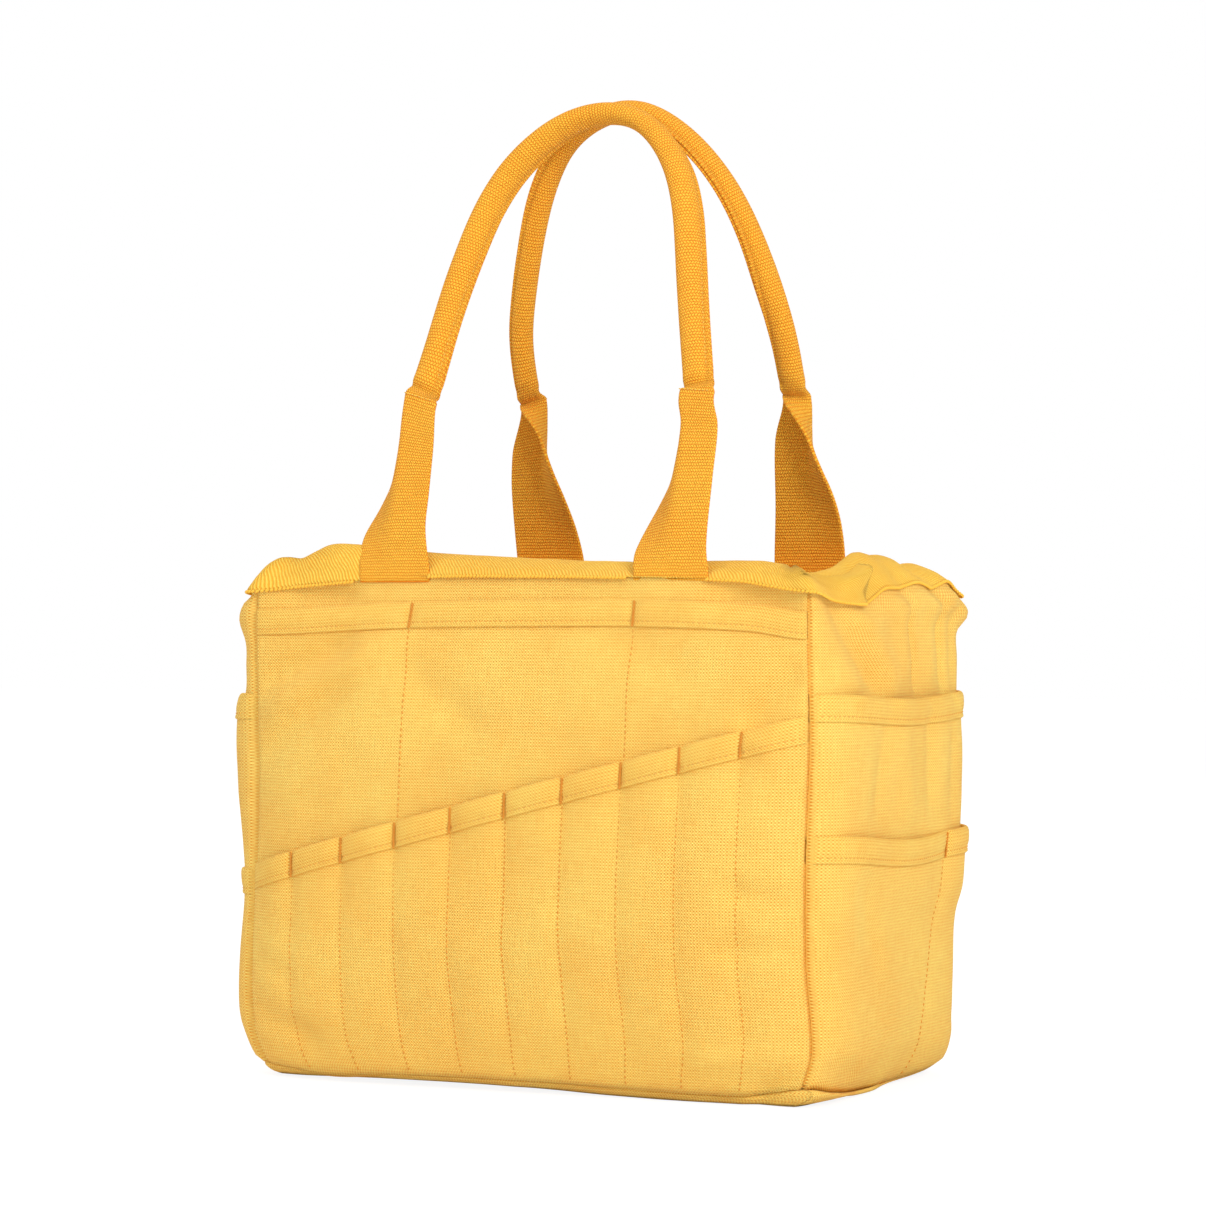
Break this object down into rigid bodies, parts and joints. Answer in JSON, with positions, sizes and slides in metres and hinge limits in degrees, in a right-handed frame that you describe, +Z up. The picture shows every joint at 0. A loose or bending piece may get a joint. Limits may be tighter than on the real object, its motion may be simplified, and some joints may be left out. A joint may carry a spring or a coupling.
{
  "type": "garden tool bag",
  "caption": "Soft canvas tool bag with an open rectangular mouth, outside tool pockets, a slanted row of slots, a taped rim and webbing handles with rounded grips.",
  "frame": {"origin": "centre of the base panel's underside, under the middle of the main compartment", "axes": "+Z up, +X along the bag's length towards its right end, -Y towards the front with the slanted tool slots"},
  "size_m": [0.3224, 0.1872, 0.4782],
  "materials": {
    "canvas": "plain-weave cotton canvas, matt",
    "rim_tape": "twill tape, matt",
    "binding": "herringbone tape, matt",
    "webbing": "heavy cotton webbing, matt",
    "thread": "twisted sewing thread",
    "cord": "soft cotton cord"
  },
  "bodies": {
    "bag": {"base_panel": "canvas", "base_seam_tape": "binding", "front_panel": "canvas", "back_panel": "canvas", "left_side_panel": "canvas", "right_side_panel": "canvas", "front_rim_tape": "rim_tape", "back_rim_tape": "rim_tape", "left_rim_tape": "rim_tape", "right_rim_tape": "rim_tape", "front_left_seam_binding": "binding", "front_right_seam_binding": "binding", "back_left_seam_binding": "binding", "back_right_seam_binding": "binding", "front_wide_pocket": "canvas", "front_wide_pocket_binding": "binding", "front_slant_pocket": "canvas", "front_slant_pocket_binding": "binding", "back_wide_pocket": "canvas", "back_wide_pocket_binding": "binding", "right_upper_pocket": "canvas", "right_upper_pocket_binding": "binding", "right_lower_pocket": "canvas", "right_lower_pocket_binding": "binding", "left_upper_pocket": "canvas", "left_upper_pocket_binding": "binding", "left_lower_pocket": "canvas", "left_lower_pocket_binding": "binding", "pocket_bar_tacks": "thread", "front_handle_sewn_tails": "webbing", "back_handle_sewn_tails": "webbing"},
    "front_handle": {"front_handle_webbing": "webbing", "front_handle_core": "cord", "front_handle_tacks": "thread"},
    "back_handle": {"back_handle_webbing": "webbing", "back_handle_core": "cord", "back_handle_tacks": "thread"}
  },
  "joints": [
    {"name": "front_handle_swing", "type": "hinge", "parent": "bag", "child": "front_handle", "pos_m": [0, -0.08435, 0.23585], "axis": [1, 0, 0], "range_deg": [0, 167]},
    {"name": "back_handle_swing", "type": "hinge", "parent": "bag", "child": "back_handle", "pos_m": [0, 0.08443, 0.23557], "axis": [-1, 0, 0], "range_deg": [0, 174]}
  ]
}
